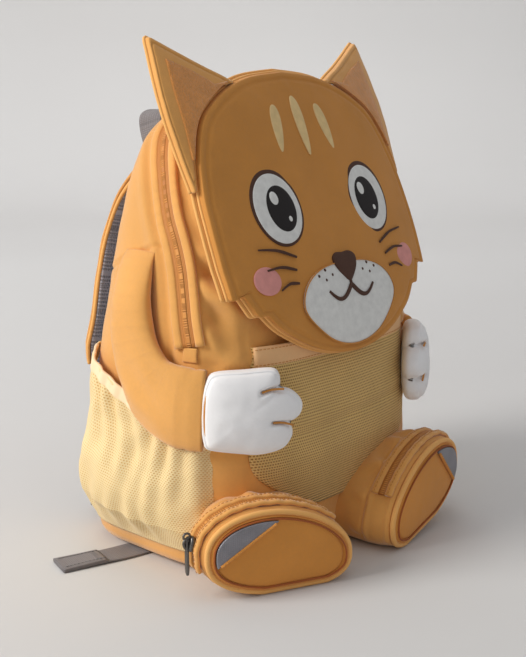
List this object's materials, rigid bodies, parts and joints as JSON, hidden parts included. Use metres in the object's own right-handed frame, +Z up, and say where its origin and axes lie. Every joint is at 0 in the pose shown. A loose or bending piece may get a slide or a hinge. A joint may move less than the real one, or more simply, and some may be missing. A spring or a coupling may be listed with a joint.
{
  "type": "children's backpack",
  "caption": "Children's backpack shaped as a sitting cat, with a padded face panel, arms, zipped foot pockets, mesh pockets and padded shoulder straps.",
  "frame": {"origin": "centre of the base panel's underside, on the floor", "axes": "+Z up, -Y the way the cat faces, +Y the wearer's side, +X to the right as seen from the front"},
  "size_m": [0.2903, 0.2209, 0.3336],
  "materials": {
    "orange_fabric": "fine plain weave, matt",
    "orange_binding": "folded binding tape, matt",
    "zip_tape": "woven zip tape with coil teeth",
    "stretch_mesh": "open stretch mesh",
    "elastic_band": "soft elastic band",
    "plush": "short pile",
    "white_fabric": "fine plain weave, matt",
    "cream_patch": "printed on the panel",
    "black_patch": "printed on the panel",
    "brown_patch": "printed on the panel",
    "pink_patch": "printed on the panel",
    "grey_webbing": "ribbed flat webbing",
    "spacer_mesh": "spacer mesh",
    "reflective_film": "retroreflective film, satin",
    "dark_metal": "gunmetal plating",
    "grey_plastic": "moulded, fine texture"
  },
  "bodies": {
    "bag": {"body_shell": "orange_fabric", "main_zip": "zip_tape", "zip_tab_left": "orange_binding", "zip_tab_right": "orange_binding", "foot_gusset_left": "orange_fabric", "foot_piping_left": "orange_binding", "foot_sole_left": "orange_fabric", "reflective_patch_left": "reflective_film", "foot_zip_left": "zip_tape", "foot_slider_left": "dark_metal", "foot_gusset_right": "orange_fabric", "foot_piping_right": "orange_binding", "foot_sole_right": "orange_fabric", "reflective_patch_right": "reflective_film", "foot_zip_right": "zip_tape", "foot_slider_right": "dark_metal", "arm_left": "orange_fabric", "arm_right": "orange_fabric", "front_pocket": "stretch_mesh", "front_pocket_hem": "elastic_band", "side_pocket_left": "stretch_mesh", "side_pocket_right": "stretch_mesh", "side_pocket_hem_left": "elastic_band", "side_pocket_hem_right": "elastic_band", "paw_left": "white_fabric", "paw_right": "white_fabric", "head_backing": "orange_binding", "head_panel": "orange_fabric", "ear_left": "orange_fabric", "ear_right": "orange_fabric", "inner_ear_left": "plush", "inner_ear_right": "plush", "muzzle": "white_fabric", "eye_left": "white_fabric", "cheek_patch_left": "pink_patch", "eye_right": "white_fabric", "cheek_patch_right": "pink_patch", "forehead_stripe_left": "cream_patch", "forehead_stripe_middle": "cream_patch", "forehead_stripe_right": "cream_patch", "pupil_left": "black_patch", "pupil_right": "black_patch", "nose": "brown_patch", "mouth": "brown_patch", "main_zip_slider": "dark_metal", "zip_cord_pull": "zip_tape", "back_pad": "spacer_mesh", "shoulder_strap_left": "orange_fabric", "shoulder_strap_right": "orange_fabric", "strap_buckle_left": "grey_plastic", "strap_buckle_right": "grey_plastic", "strap_webbing_left": "grey_webbing", "strap_webbing_right": "grey_webbing", "base_panel": "orange_fabric", "grab_loop": "grey_webbing"},
    "left_zip_puller": {"foot_puller_left": "dark_metal"},
    "right_zip_puller": {"foot_puller_right": "dark_metal"}
  },
  "joints": [
    {"name": "left_puller_swing", "type": "hinge", "parent": "bag", "child": "left_zip_puller", "pos_m": [-0.13412, -0.06041, 0.04098], "axis": [0.421, 0.907, 0], "range_deg": [0, 120]},
    {"name": "right_puller_swing", "type": "hinge", "parent": "bag", "child": "right_zip_puller", "pos_m": [0.10682, -0.09019, 0.0372], "axis": [0.1219, -0.9925, 0], "range_deg": [0, 120]}
  ]
}
